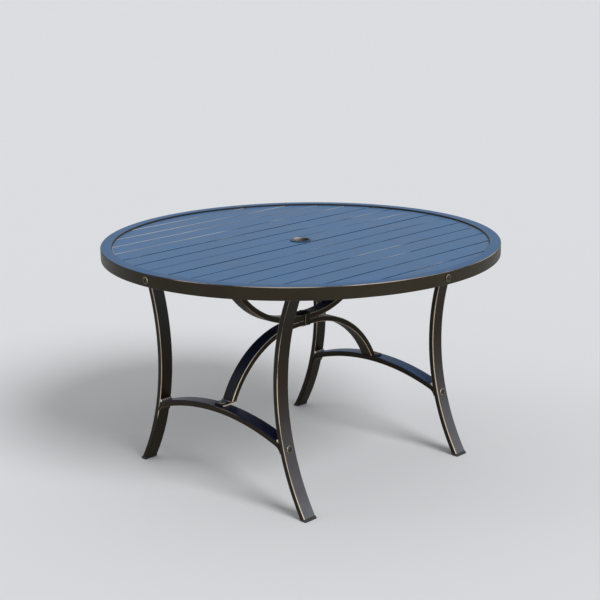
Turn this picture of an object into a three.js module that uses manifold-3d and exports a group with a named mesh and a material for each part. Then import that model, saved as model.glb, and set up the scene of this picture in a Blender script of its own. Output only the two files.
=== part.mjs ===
// Round slatted steel patio table with an umbrella hole.
// Millimetres, +Z up, origin on the floor under the middle of the top.
// Slats run along Y. Each pair of bent legs and the stretcher between them stand in a plane along X,
// and four bent arms join the two stretchers and the top to a pole sleeve in the middle, in the plane x = 0.

import * as THREE from 'three';
import { mergeVertices } from 'three/addons/utils/BufferGeometryUtils.js';
import Module from 'manifold-3d';

const wasm = await Module();
wasm.setup();

// Overall
const tableDiameter = 1219;
const tableHeight = 711;
const clearance = 0.3;
const overrun = 4;

// Rim: a rectangular tube rolled into a hoop, standing proud of the slats
const rimWidth = 35;
const rimDepth = 38;
const rimCorner = 3;
const rimWall = 1.6;
const rimBoltDrop = 19;

// Slats: sheet-steel planks with turned-down edges
const slatPitch = 79.4;
const slatGap = 4.2;
const slatDrop = 5;
const slatFold = 7;
const slatSheet = 1.5;
const slatCorner = 2;
const slatEndGap = 1;
const slatLeastWidth = 20;

// Flat tube that the legs, stretchers, arms and cross rails are made from
const tubeWidth = 45;
const tubeThickness = 18;
const tubeWall = 1.5;
const tubeCorner = 2;

// Square bar of the bearer and the two stays
const barSize = 20;
const barWall = 1.5;
const barCorner = 1.5;
const barEndPlate = 3;

// Legs: arcs bent outwards at the top and at the foot. The rows are set in from the rim,
// and the leg tops from the ends of the cross rails.
const legRowInset = 229.5;
const legTopInset = 115.5;
const legWaistHeight = 368;
const legBend = 705;
const legPlateLength = 84;
const legPlateThickness = 4;
const legPlateCorner = 8;
const legBoltSpread = 28;
const capHeight = 8;
const capLip = 1;
const capPlugHeight = 30;

// Stretchers: low arches with flared ends that lie against the legs
const stretcherBend = 760;
const stretcherCrown = 252;
const stretcherFlare = 28;
const stretcherLug = 3;
const stretcherEndWall = 26;
const stretcherBoltRise = 13;
const stretcherBoltDepth = 14;

// Arms: straight beside the pole sleeve, then bent to the stretchers and to the top
const jointHeight = 457;
const armStraight = 30;
const upperFootInset = 21.8;
const lowerFootInset = 32.9;
const padThickness = 5;
const padInner = 13;
const padBoltReach = 28;
const padOuter = 15;
const padCorner = 6;

// Pole sleeve between the arms, and its liner
const sleeveRadius = 24;
const sleeveWall = 2.5;
const sleeveHeight = 34;
const bushBore = 20;
const bushFlange = 23.5;
const bushFlangeThickness = 2;
const bushEdge = 0.5;

// Ring that lines the umbrella hole in the middle slat
const ringBore = 28;
const ringSleeve = 30;
const ringFlange = 32.6;
const ringThickness = 2.5;
const ringDepth = 30;
const ringEdge = 1;

// Dome-headed bolts
const boltRadius = 4;
const boltHeadRadius = 10.5;
const boltHeadEdge = 1.2;
const boltHeadHeight = 4.5;
const padBoltLength = 18;
const legBoltLength = 16;
const rimBoltLength = 48;

// Facet counts
const hoopSides = 64;
const copeSides = 180;
const sleeveSides = 24;
const ringSides = 24;
const boltSides = 10;
const holeSides = 12;
const domeSteps = 2;
const legSteps = 10;
const armSteps = 6;
const archSteps = 5;
const plateSteps = 2;
const cornerSteps = 1;
const bevelSteps = 1;

// Radii and levels that follow from the sizes above
const rimOuter = tableDiameter / 2;
const rimInner = rimOuter - rimWidth;
const rimBottom = tableHeight - rimDepth;
const rimBoltLevel = tableHeight - rimBoltDrop;
const slatTop = tableHeight - slatDrop;
const slatsEachSide = Math.floor((rimInner + slatPitch / 2 - slatLeastWidth) / slatPitch);
const railTop = slatTop - slatFold - clearance;
const railBottom = railTop - tubeThickness;
const padTop = railBottom - clearance;
const halfTube = tubeThickness / 2;
const halfWidth = tubeWidth / 2;
const legRow = rimInner - legRowInset;
const legInnerFace = legBend + halfTube;
const legOuterFace = legBend - halfTube;
const stretcherCentreZ = stretcherCrown - stretcherBend;
const stretcherTop = stretcherCrown + halfTube;
const holeRadius = boltRadius + clearance;
const bearerOffset = ringSleeve + clearance + barSize / 2;
const barLevel = railTop - barSize / 2;
const sleeveTop = jointHeight + tubeThickness - bushFlangeThickness;
const lowerPadTop = stretcherTop + clearance + padThickness;
const upperPadBottom = padTop - padThickness;
const legPlateBottom = padTop - legPlateThickness;
const legTopX = Math.sqrt(rimInner ** 2 - (legRow + halfWidth) ** 2) - legTopInset;
const legCentreX = legTopX + Math.sqrt(legBend ** 2 - (legPlateBottom - legWaistHeight) ** 2);
const upperFoot = legRow - upperFootInset;
const lowerFoot = legRow - lowerFootInset;

const powderCoat = new THREE.MeshStandardMaterial({ color: 0x2b2722, roughness: 0.45, metalness: 0.5 });
const slatCoat = new THREE.MeshStandardMaterial({ color: 0x34302b, roughness: 0.4, metalness: 0.5 });
const boltCoat = new THREE.MeshStandardMaterial({ color: 0x3a322a, roughness: 0.4, metalness: 0.7 });
const plastic = new THREE.MeshStandardMaterial({ color: 0x151515, roughness: 0.6, metalness: 0 });

const table = new THREE.Group();

function solidOf(geometry) {
  const bare = geometry.clone();
  bare.deleteAttribute('normal');
  bare.deleteAttribute('uv');
  const merged = mergeVertices(bare);
  return new wasm.Manifold(new wasm.Mesh({
    numProp: 3,
    vertProperties: merged.attributes.position.array,
    triVerts: new Uint32Array(merged.index.array),
  }));
}

function geometryOf(solid) {
  const mesh = solid.getMesh();
  const geometry = new THREE.BufferGeometry();
  geometry.setAttribute('position', new THREE.BufferAttribute(mesh.vertProperties, mesh.numProp));
  geometry.setIndex(new THREE.BufferAttribute(mesh.triVerts, 1));
  return geometry;
}

function place(parent, name, geometry, material) {
  const mesh = new THREE.Mesh(geometry, material);
  mesh.name = name;
  parent.add(mesh);
  return mesh;
}

function turned(parent, angle) {
  const group = new THREE.Group();
  group.rotation.z = angle;
  parent.add(group);
  return group;
}

// Outline of a rectangle with round corners
function roundedRect(left, low, right, high, corner) {
  const shape = new THREE.Shape();
  shape.absarc(right - corner, low + corner, corner, -Math.PI / 2, 0, false);
  shape.absarc(right - corner, high - corner, corner, 0, Math.PI / 2, false);
  shape.absarc(left + corner, high - corner, corner, Math.PI / 2, Math.PI, false);
  shape.absarc(left + corner, low + corner, corner, Math.PI, Math.PI * 3 / 2, false);
  shape.closePath();
  return shape;
}

// An outline drawn in X and Z, given its thickness along Y with the long edges rounded
function upright(shape, thickness, corner, steps) {
  const geometry = new THREE.ExtrudeGeometry(shape, {
    depth: thickness - corner * 2,
    curveSegments: steps,
    bevelEnabled: corner > 0,
    bevelThickness: corner,
    bevelSize: corner,
    bevelOffset: -corner,
    bevelSegments: bevelSteps,
  });
  geometry.translate(0, 0, corner - thickness / 2);
  return geometry.rotateX(Math.PI / 2);
}

// An outline drawn in plan, with its lower face at the level given
function lying(shape, thickness, level) {
  const geometry = new THREE.ExtrudeGeometry(shape, {
    depth: thickness,
    curveSegments: plateSteps,
    bevelEnabled: false,
  });
  return geometry.translate(0, 0, level);
}

// A length of tube or bar along X, centred on the X axis
function barAlongX(from, to, width, height, corner) {
  const section = roundedRect(-height / 2, -width / 2, height / 2, width / 2, corner);
  const geometry = new THREE.ExtrudeGeometry(section, {
    depth: to - from,
    curveSegments: cornerSteps,
    bevelEnabled: false,
  });
  return geometry.rotateY(Math.PI / 2).translate(from, 0, 0);
}

// Everything between two levels
function slab(low, high) {
  const box = new THREE.BoxGeometry(tableDiameter * 2, tableDiameter * 2, high - low);
  return solidOf(box.translate(0, 0, (low + high) / 2));
}

// The round space inside the rim, as seen from a piece whose own centre is at (x, y)
function insideRim(gap, x, y) {
  const disc = new THREE.CylinderGeometry(rimInner - gap, rimInner - gap, tableHeight * 2, hoopSides);
  return solidOf(disc.rotateX(Math.PI / 2).translate(-x, -y, 0));
}

// A drill through the middle of a piece, along X, Y or Z
function drillX(length, radius = holeRadius) {
  return new THREE.CylinderGeometry(radius, radius, length, holeSides).rotateZ(Math.PI / 2);
}

function drillZ(length, radius = holeRadius, sides = holeSides) {
  return new THREE.CylinderGeometry(radius, radius, length, sides).rotateX(Math.PI / 2);
}

// A profile in (radius, height) turned about Z
function revolve(points, sides) {
  return new THREE.LatheGeometry(points, sides).rotateX(Math.PI / 2);
}

function profile(pairs) {
  const points = pairs.map(([radius, height]) => new THREE.Vector2(radius, height));
  points.push(points[0].clone());
  return points;
}

// Where two circles cross, on the left of the line from the first centre to the second
function crossing(first, firstRadius, second, secondRadius) {
  const apart = second.clone().sub(first);
  const distance = apart.length();
  const along = (distance ** 2 + firstRadius ** 2 - secondRadius ** 2) / (distance * 2);
  const aside = Math.sqrt(firstRadius ** 2 - along ** 2);
  const across = new THREE.Vector2(-apart.y, apart.x).setLength(aside);
  return apart.setLength(along).add(first).add(across);
}

function angleFrom(centre, point) {
  return Math.atan2(point.y - centre.y, point.x - centre.x);
}

// The flare between a stretcher's underside and its foot on the leg, and the bolt above that foot
const archCentre = new THREE.Vector2(0, stretcherCentreZ);
const legCentre = new THREE.Vector2(legCentreX, legWaistHeight);
const flareCentre = crossing(
  archCentre, stretcherBend - halfTube - stretcherFlare,
  legCentre, legInnerFace + stretcherLug + stretcherFlare);
const flareFoot = legCentre.clone().sub(flareCentre).setLength(stretcherFlare).add(flareCentre);
const boltDip = Math.asin((legWaistHeight - flareFoot.y - stretcherBoltRise) / legOuterFace);

// Rim hoop, hollow, drilled for its four bolts
function rimHoop() {
  const outside = roundedRect(rimInner, rimBottom, rimOuter, tableHeight, rimCorner).getPoints(cornerSteps);
  const hollow = profile([
    [rimInner + rimWall, rimBottom + rimWall],
    [rimOuter - rimWall, rimBottom + rimWall],
    [rimOuter - rimWall, tableHeight - rimWall],
    [rimInner + rimWall, tableHeight - rimWall],
  ]);
  const alongX = drillX(tableDiameter + overrun).translate(0, -bearerOffset, rimBoltLevel);
  const alongY = drillX(tableDiameter + overrun).rotateZ(Math.PI / 2).translate(0, 0, rimBoltLevel);
  return solidOf(revolve(outside, hoopSides))
    .subtract(solidOf(revolve(hollow, hoopSides)))
    .subtract(solidOf(alongX))
    .subtract(solidOf(alongY));
}

place(table, 'rim_hoop', geometryOf(rimHoop()), powderCoat);

// One slat, its ends cut to the round of the rim
function slat(number) {
  const half = (slatPitch - slatGap) / 2;
  const inner = slatCorner - slatSheet;
  const shape = new THREE.Shape();
  shape.moveTo(half, -slatFold);
  shape.lineTo(half, -slatCorner);
  shape.absarc(half - slatCorner, -slatCorner, slatCorner, 0, Math.PI / 2, false);
  shape.absarc(slatCorner - half, -slatCorner, slatCorner, Math.PI / 2, Math.PI, false);
  shape.lineTo(-half, -slatFold);
  shape.lineTo(slatSheet - half, -slatFold);
  shape.absarc(slatCorner - half, -slatCorner, inner, Math.PI, Math.PI / 2, true);
  shape.absarc(half - slatCorner, -slatCorner, inner, Math.PI / 2, 0, true);
  shape.lineTo(half - slatSheet, -slatFold);
  return solidOf(upright(shape, tableDiameter, 0, cornerSteps))
    .intersect(insideRim(slatEndGap, number * slatPitch, 0));
}

const umbrellaHole = solidOf(drillZ(slatFold * 2, ringSleeve + clearance, ringSides));
place(table, 'slat_middle', geometryOf(slat(0).subtract(umbrellaHole)), slatCoat).position.z = slatTop;

for (let number = 1; number <= slatsEachSide; number += 1) {
  const plank = geometryOf(slat(number));
  for (const [side, angle] of [['right', 0], ['left', Math.PI]]) {
    place(turned(table, angle), `slat_${side}_${number}`, plank, slatCoat)
      .position.set(number * slatPitch, 0, slatTop);
  }
}

// Umbrella ring: a flanged liner dropped into the hole of the middle slat
const ringProfile = profile([
  [ringBore, -ringDepth],
  [ringSleeve, -ringDepth],
  [ringSleeve, 0],
  [ringFlange, 0],
  [ringFlange, ringThickness - ringEdge],
  [ringFlange - ringEdge, ringThickness],
  [ringBore + ringEdge, ringThickness],
  [ringBore, ringThickness - ringEdge],
]);
place(table, 'umbrella_ring', revolve(ringProfile, ringSides), boltCoat)
  .position.z = slatTop + clearance;

// Cross rail under the slats, over a row of legs: a length of the flat tube, open at the rim
function crossRail() {
  const level = (railTop + railBottom) / 2;
  const outside = barAlongX(-rimOuter, rimOuter, tubeWidth, tubeThickness, tubeCorner);
  const hollow = barAlongX(
    -tableDiameter, tableDiameter, tubeWidth - tubeWall * 2, tubeThickness - tubeWall * 2, tubeWall);
  let rail = solidOf(outside.translate(0, 0, level))
    .intersect(insideRim(clearance, 0, legRow))
    .subtract(solidOf(hollow.translate(0, 0, level)));
  for (const side of [-1, 1]) {
    for (const spread of [-legBoltSpread, legBoltSpread]) {
      const hole = drillZ(tubeThickness).translate(side * (legTopX + spread), 0, railBottom);
      rail = rail.subtract(solidOf(hole));
    }
  }
  const padHole = upperFoot + padBoltReach - legRow;
  return rail.subtract(solidOf(drillZ(tubeThickness).translate(0, padHole, railBottom)));
}

const railGeometry = geometryOf(crossRail());

// Bearer bar beside the umbrella ring, from rim to rim, with closed ends drilled for the rim bolts
function bearerBar() {
  const shortHalf = Math.sqrt(rimInner ** 2 - (bearerOffset + barSize / 2) ** 2);
  const hollow = barAlongX(
    barEndPlate - shortHalf, shortHalf - barEndPlate, barSize - barWall * 2, barSize - barWall * 2, barCorner);
  return solidOf(barAlongX(-rimOuter, rimOuter, barSize, barSize, barCorner))
    .intersect(insideRim(clearance, 0, -bearerOffset))
    .subtract(solidOf(hollow))
    .subtract(solidOf(drillX(tableDiameter).translate(0, 0, rimBoltLevel - barLevel)));
}

place(table, 'bearer_bar', geometryOf(bearerBar()), powderCoat).position.set(0, -bearerOffset, barLevel);

// Stay from a cross rail out to the rim, made along X
function rimStay() {
  const start = legRow + halfWidth + clearance;
  const hollow = barAlongX(
    start + barEndPlate, rimInner - barEndPlate * 2, barSize - barWall * 2, barSize - barWall * 2, barCorner);
  const hole = drillX(rimOuter - start - barEndPlate * 2);
  hole.translate((rimOuter + start + barEndPlate * 2) / 2, 0, rimBoltLevel - barLevel);
  return solidOf(barAlongX(start, rimOuter, barSize, barSize, barCorner))
    .intersect(insideRim(clearance, 0, 0))
    .subtract(solidOf(hollow))
    .subtract(solidOf(hole));
}

const stayGeometry = geometryOf(rimStay());

// Bolt with its head seated on z = 0 and its shank running down
function bolt(length) {
  const dome = boltHeadHeight - boltHeadEdge;
  const domeRadius = (boltHeadRadius ** 2 + dome ** 2) / (dome * 2);
  const sweep = Math.asin(boltHeadRadius / domeRadius);
  const outline = new THREE.Path();
  outline.moveTo(0, -length);
  outline.lineTo(boltRadius, -length);
  outline.lineTo(boltRadius, 0);
  outline.lineTo(boltHeadRadius, 0);
  const points = outline.getPoints();
  for (let step = 0; step < domeSteps; step += 1) {
    const angle = sweep * (1 - step / domeSteps);
    const height = boltHeadHeight - domeRadius + domeRadius * Math.cos(angle);
    points.push(new THREE.Vector2(domeRadius * Math.sin(angle), height));
  }
  points.push(new THREE.Vector2(0, boltHeadHeight));
  return revolve(points, boltSides);
}

const rimBolt = bolt(rimBoltLength);
const padBolt = bolt(padBoltLength);
const legBolt = bolt(legBoltLength);
const stretcherBolt = bolt(tubeThickness + stretcherBoltDepth);

// A rim bolt's head clears the curve of the hoop at its inmost edge
function rimSeat(offset) {
  return Math.sqrt(rimOuter ** 2 - Math.max(offset - boltHeadRadius, 0) ** 2) + clearance;
}

for (const [name, angle, offset] of [['right', 0, -bearerOffset], ['left', Math.PI, bearerOffset]]) {
  const mesh = place(turned(table, angle), `rim_bolt_${name}`, rimBolt, boltCoat);
  mesh.position.set(rimSeat(bearerOffset), offset, rimBoltLevel);
  mesh.rotation.y = Math.PI / 2;
}

// Part of a leg's arc between two levels, thicker or thinner than the tube by growth on each face
function legPart(growth, low, high, corner, steps) {
  const below = Math.asin((legWaistHeight - low + overrun) / (legOuterFace - growth));
  const above = Math.asin((high - legWaistHeight + overrun) / (legOuterFace - growth));
  const shape = new THREE.Shape();
  shape.absarc(legCentreX, legWaistHeight, legInnerFace + growth, Math.PI - above, Math.PI + below, false);
  shape.absarc(legCentreX, legWaistHeight, legOuterFace - growth, Math.PI + below, Math.PI - above, true);
  return solidOf(upright(shape, tubeWidth + growth * 2, corner, steps)).intersect(slab(low, high));
}

// A hole through the leg and into the stretcher's end, square to the leg's face
function stretcherBoltHole() {
  const reach = legInnerFace + stretcherBoltDepth + clearance;
  const hole = drillX(reach - legOuterFace + overrun);
  hole.translate((overrun - reach - legOuterFace) / 2, 0, 0);
  return solidOf(hole.rotateY(-boltDip).translate(legCentreX, 0, legWaistHeight));
}

// Leg: the bent tube, open at the foot, with its mounting plate welded on top
function leg() {
  const outline = roundedRect(
    legTopX - legPlateLength / 2, -halfWidth, legTopX + legPlateLength / 2, halfWidth, legPlateCorner);
  let piece = legPart(0, capHeight, legPlateBottom + legPlateThickness / 2, tubeCorner, legSteps)
    .subtract(legPart(-tubeWall, capHeight - overrun, legPlateBottom, 0, legSteps))
    .add(solidOf(lying(outline, legPlateThickness, legPlateBottom)))
    .subtract(stretcherBoltHole());
  for (const spread of [-legBoltSpread, legBoltSpread]) {
    piece = piece.subtract(solidOf(drillZ(tubeThickness).translate(legTopX + spread, 0, padTop)));
  }
  return piece;
}

// Foot cap: a lip that carries on the leg's outline down to the floor, with a plug up inside the tube
function footCap() {
  return legPart(capLip, 0, capHeight - clearance, tubeCorner, cornerSteps)
    .add(legPart(-tubeWall - clearance, capHeight / 2, capPlugHeight, 0, cornerSteps));
}

const legGeometry = geometryOf(leg());
const capGeometry = geometryOf(footCap());

// Stretcher: a shallow arch whose underside curves down into a foot against each leg
function stretcher() {
  const topRadius = stretcherBend + halfTube;
  const lowRadius = stretcherBend - halfTube;
  const onArch = flareCentre.clone().sub(archCentre).setLength(lowRadius).add(archCentre);
  const end = flareFoot.x + tubeThickness;
  const endAngle = Math.acos(end / topRadius);
  const lowAngle = angleFrom(archCentre, onArch);
  const flareTop = angleFrom(flareCentre, onArch);
  const flareEnd = angleFrom(flareCentre, flareFoot);
  const shape = new THREE.Shape();
  shape.absarc(0, stretcherCentreZ, topRadius, endAngle, Math.PI - endAngle, false);
  shape.lineTo(-end, flareFoot.y);
  shape.absarc(
    -flareCentre.x, flareCentre.y, stretcherFlare, Math.PI - flareEnd, Math.PI - flareTop, true);
  shape.absarc(0, stretcherCentreZ, lowRadius, Math.PI - lowAngle, lowAngle, true);
  shape.absarc(flareCentre.x, flareCentre.y, stretcherFlare, flareTop, flareEnd, true);
  shape.lineTo(end, flareFoot.y);
  const innerAngle = Math.acos((flareFoot.x - stretcherEndWall) / topRadius);
  const hollow = new THREE.Shape();
  hollow.absarc(0, stretcherCentreZ, topRadius - tubeWall, innerAngle, Math.PI - innerAngle, false);
  hollow.absarc(0, stretcherCentreZ, lowRadius + tubeWall, Math.PI - innerAngle, innerAngle, true);
  let piece = solidOf(upright(shape, tubeWidth, tubeCorner, archSteps))
    .subtract(solidOf(upright(hollow, tubeWidth - tubeWall * 2, 0, archSteps)))
    .subtract(solidOf(drillZ(tubeThickness).translate(0, lowerFoot + padBoltReach - legRow, stretcherTop)));
  for (const side of [0, Math.PI]) {
    const cope = new THREE.CylinderGeometry(
      legInnerFace + clearance, legInnerFace + clearance, tubeWidth * 2, copeSides);
    cope.translate(legCentreX, 0, legWaistHeight).rotateZ(side);
    piece = piece.subtract(solidOf(cope)).subtract(solidOf(geometryOf(stretcherBoltHole()).rotateZ(side)));
  }
  return piece;
}

const stretcherGeometry = geometryOf(stretcher());

// Arm drawn along +X and rising, with z = 0 at the level of the joint.
// Its one bend leaves the straight level and meets the pad's underside over the foot.
function arm(height, foot) {
  const start = halfTube + clearance / 2;
  const run = foot - armStraight;
  const rise = height - start;
  const armBend = (run ** 2 + rise ** 2) / (rise * 2);
  const centreZ = start + armBend;
  const sweep = Math.acos((centreZ - height - padThickness) / (armBend + halfTube));
  const bent = (growth, from) => {
    const shape = new THREE.Shape();
    const low = armBend + halfTube + growth;
    const high = armBend - halfTube - growth;
    shape.moveTo(from, centreZ - low);
    shape.lineTo(armStraight, centreZ - low);
    shape.absarc(armStraight, centreZ, low, -Math.PI / 2, sweep - Math.PI / 2, false);
    shape.absarc(armStraight, centreZ, high, sweep - Math.PI / 2, -Math.PI / 2, true);
    shape.lineTo(from, centreZ - high);
    return shape;
  };
  const outline = roundedRect(
    foot - padInner, -halfWidth, foot + padBoltReach + padOuter, halfWidth, padCorner);
  const hollow = solidOf(upright(bent(-tubeWall, -overrun), tubeWidth - tubeWall * 2, 0, armSteps))
    .intersect(slab(-tubeThickness, height));
  return solidOf(upright(bent(0, 0), tubeWidth, tubeCorner, armSteps))
    .intersect(slab(-tubeThickness, height + padThickness / 2))
    .subtract(hollow)
    .subtract(solidOf(drillZ(tubeWidth * 2, sleeveRadius + clearance, sleeveSides)))
    .add(solidOf(lying(outline, padThickness, height)))
    .subtract(solidOf(drillZ(tubeThickness).translate(foot + padBoltReach, 0, height)));
}

const upperArm = geometryOf(arm(upperPadBottom - jointHeight, upperFoot));
const lowerArm = geometryOf(arm(jointHeight - lowerPadTop, lowerFoot)).rotateX(Math.PI);

// The arms, rim stays and bolts that lie front and back of the middle
for (const [side, angle] of [['back', Math.PI / 2], ['front', -Math.PI / 2]]) {
  const spoke = turned(table, angle);
  place(spoke, `upper_arm_${side}`, upperArm, powderCoat).position.z = jointHeight;
  place(spoke, `lower_arm_${side}`, lowerArm, powderCoat).position.z = jointHeight;
  place(spoke, `rim_stay_${side}`, stayGeometry, powderCoat).position.z = barLevel;
  const rim = place(spoke, `rim_bolt_${side}`, rimBolt, boltCoat);
  rim.position.set(rimSeat(0), 0, rimBoltLevel);
  rim.rotation.y = Math.PI / 2;
  const upper = place(spoke, `upper_pad_bolt_${side}`, padBolt, boltCoat);
  upper.position.set(upperFoot + padBoltReach, 0, upperPadBottom - clearance);
  upper.rotation.x = Math.PI;
  place(spoke, `lower_pad_bolt_${side}`, padBolt, boltCoat)
    .position.set(lowerFoot + padBoltReach, 0, lowerPadTop + clearance);
}

// One row: cross rail, stretcher, and a leg with its cap and bolts at each end
for (const [row, angle, near, far] of [['back', 0, 'right', 'left'], ['front', Math.PI, 'left', 'right']]) {
  const bay = turned(table, angle);
  place(bay, `cross_rail_${row}`, railGeometry, powderCoat).position.y = legRow;
  place(bay, `stretcher_${row}`, stretcherGeometry, powderCoat).position.y = legRow;
  for (const [end, turn] of [[near, 0], [far, Math.PI]]) {
    const stand = turned(bay, turn);
    stand.position.y = legRow;
    place(stand, `leg_${row}_${end}`, legGeometry, powderCoat);
    place(stand, `foot_cap_${row}_${end}`, capGeometry, plastic);
    const through = place(stand, `stretcher_bolt_${row}_${end}`, stretcherBolt, boltCoat);
    const seat = legOuterFace - clearance;
    through.position.x = legCentreX - seat * Math.cos(boltDip);
    through.position.z = legWaistHeight - seat * Math.sin(boltDip);
    through.rotation.y = Math.PI / 2 - boltDip;
    for (const [edge, spread] of [['inner', -legBoltSpread], ['outer', legBoltSpread]]) {
      const plateBolt = place(stand, `leg_bolt_${row}_${end}_${edge}`, legBolt, boltCoat);
      plateBolt.position.set(legTopX + spread, 0, legPlateBottom - clearance);
      plateBolt.rotation.x = Math.PI;
    }
  }
}

// Sleeve that the four arms are welded to
const sleeveInner = sleeveRadius - sleeveWall;
const sleeveProfile = profile([
  [sleeveInner, sleeveTop - sleeveHeight],
  [sleeveRadius, sleeveTop - sleeveHeight],
  [sleeveRadius, sleeveTop],
  [sleeveInner, sleeveTop],
]);
place(table, 'pole_sleeve', revolve(sleeveProfile, sleeveSides), powderCoat);

// Flanged bush that lines the sleeve for the umbrella pole
const bushProfile = profile([
  [bushBore, -sleeveHeight],
  [sleeveInner - clearance, -sleeveHeight],
  [sleeveInner - clearance, 0],
  [bushFlange, 0],
  [bushFlange, bushFlangeThickness - bushEdge],
  [bushFlange - bushEdge, bushFlangeThickness],
  [bushBore + bushEdge, bushFlangeThickness],
  [bushBore, bushFlangeThickness - bushEdge],
]);
place(table, 'pole_bush', revolve(bushProfile, sleeveSides), plastic)
  .position.z = sleeveTop + clearance;

export default table;
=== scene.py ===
import math

import bmesh
import bpy
from mathutils import Matrix, Vector


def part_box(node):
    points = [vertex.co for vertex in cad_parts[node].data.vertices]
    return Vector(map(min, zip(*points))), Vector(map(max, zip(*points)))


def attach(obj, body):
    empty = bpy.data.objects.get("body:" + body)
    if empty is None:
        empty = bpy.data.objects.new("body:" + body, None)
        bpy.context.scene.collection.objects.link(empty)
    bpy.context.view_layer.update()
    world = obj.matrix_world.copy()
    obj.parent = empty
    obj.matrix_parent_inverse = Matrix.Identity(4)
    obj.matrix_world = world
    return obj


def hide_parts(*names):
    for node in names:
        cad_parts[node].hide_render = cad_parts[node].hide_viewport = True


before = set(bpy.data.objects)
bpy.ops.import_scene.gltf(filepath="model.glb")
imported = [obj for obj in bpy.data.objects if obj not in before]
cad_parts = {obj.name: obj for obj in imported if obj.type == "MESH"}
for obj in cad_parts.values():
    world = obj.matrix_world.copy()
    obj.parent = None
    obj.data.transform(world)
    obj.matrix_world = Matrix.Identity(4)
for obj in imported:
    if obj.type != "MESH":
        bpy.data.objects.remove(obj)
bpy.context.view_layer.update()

# The viewpoint
# The table is seen from the front right corner, about 4 m away and 15 degrees above the level,
# through a long lens.
eye = (2.820, -2.835, 1.569)
eye_tilt = math.radians(75.244)
eye_lean = math.radians(0.852)
eye_turn = math.radians(44.688)
camera_data = bpy.data.cameras.new("camera")
camera_data.lens = 79.8
camera_data.sensor_width = 36
camera_data.clip_end = 300
camera = bpy.data.objects.new("camera", camera_data)
camera.location = eye
camera.rotation_euler = (eye_tilt, eye_lean, eye_turn)
bpy.context.scene.collection.objects.link(camera)
bpy.context.scene.camera = camera
bpy.context.scene.view_settings.view_transform = "Standard"


# The studio
# A wide pale floor that runs out to a background of the same tone, under one large soft light high
# on the right, a weaker one on the left and an even white fill.
def linear(colour):
    """The linear colour of an sRGB hex value."""
    channels = [int(colour[start:start + 2], 16) / 255 for start in (1, 3, 5)]
    return [c / 12.92 if c <= 0.04045 else ((c + 0.055) / 1.055) ** 2.4 for c in channels] + [1]


def add_node(tree, kind, inputs=None, **settings):
    """Adds a node; an input is given a value, or the output socket that is linked to it."""
    node = tree.nodes.new(kind)
    for name, value in settings.items():
        setattr(node, name, value)
    for name, value in (inputs or {}).items():
        if isinstance(value, bpy.types.NodeSocket):
            tree.links.new(value, node.inputs[name])
        else:
            node.inputs[name].default_value = value
    return node


def new_material(name):
    """A material whose nodes are still to be added."""
    material = bpy.data.materials.new(name)
    material.use_nodes = True
    material.node_tree.nodes.clear()
    return material


# The eye and the gloss on the table see the background's tone; the white fill lights all the rest.
background_tone = "#dfe3e8"
fill_strength = 0.45
world = bpy.data.worlds.new("studio")
world.use_nodes = True
tree = world.node_tree
tree.nodes.clear()
rays = add_node(tree, "ShaderNodeLightPath")
seen = add_node(tree, "ShaderNodeMath", {0: rays.outputs["Is Camera Ray"], 1: rays.outputs["Is Glossy Ray"]},
                operation="MAXIMUM")
fill = add_node(tree, "ShaderNodeBackground", {"Color": linear("#ffffff"), "Strength": fill_strength})
backdrop = add_node(tree, "ShaderNodeBackground", {"Color": linear(background_tone), "Strength": 1})
either = add_node(tree, "ShaderNodeMixShader",
                  {0: seen.outputs[0], 1: fill.outputs[0], 2: backdrop.outputs[0]})
add_node(tree, "ShaderNodeOutputWorld", {"Surface": either.outputs[0]})
bpy.context.scene.world = world

# Matt paint: one even tone with almost no gloss, so that nothing but the table's shadow shows on it.
floor_tone = "#e6e8eb"
floor_radius = 80
floor_sides = 96
floor_paint = new_material("matt_floor_paint")
tree = floor_paint.node_tree
paint = add_node(tree, "ShaderNodeBsdfPrincipled",
                 {"Base Color": linear(floor_tone), "Roughness": 0.9, "Specular IOR Level": 0.2})
add_node(tree, "ShaderNodeOutputMaterial", {"Surface": paint.outputs[0]})
floor_turns = [math.tau * step / floor_sides for step in range(floor_sides)]
corners = [(floor_radius * math.cos(turn), floor_radius * math.sin(turn), 0) for turn in floor_turns]
floor_mesh = bpy.data.meshes.new("floor")
floor_mesh.from_pydata(corners, [], [range(floor_sides)])
floor_mesh.materials.append(floor_paint)
floor = bpy.data.objects.new("floor", floor_mesh)
bpy.context.scene.collection.objects.link(floor)

light_spread = math.radians(26)


def soft_light(name, place, power):
    """A distant light, wide in the sky, seen from the table in the direction of place."""
    lamp_data = bpy.data.lights.new(name, "SUN")
    lamp_data.angle = light_spread
    lamp_data.energy = power
    lamp = bpy.data.objects.new(name, lamp_data)
    lamp.location = place
    lamp.rotation_euler = (-Vector(place)).to_track_quat("-Z", "Y").to_euler()
    bpy.context.scene.collection.objects.link(lamp)


soft_light("key_light", (11.5, -1.0, 10.0), 1.95)
soft_light("side_light", (-8.0, -9.0, 8.5), 0.16)

# Rim hoop
# Rectangular steel tube, 35 by 38 mm, rolled into a ring, welded shut and powder coated almost
# black. The coat is rubbed through to an antique bronze along its rounded corners.
mm = 0.001
rim_width = 35 * mm
rim_corner = 3.2 * mm
rim_steps = 256
arc_steps = 6
arc_end_rub = 0.1
rub_band = 2.4 * mm
sharp_angle = math.radians(40)


def corner_rub(step):
    """How far a rounded corner is rubbed at each step round it: most in its middle."""
    return arc_end_rub + (1 - arc_end_rub) * math.sin(math.pi * step / arc_steps)


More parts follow.
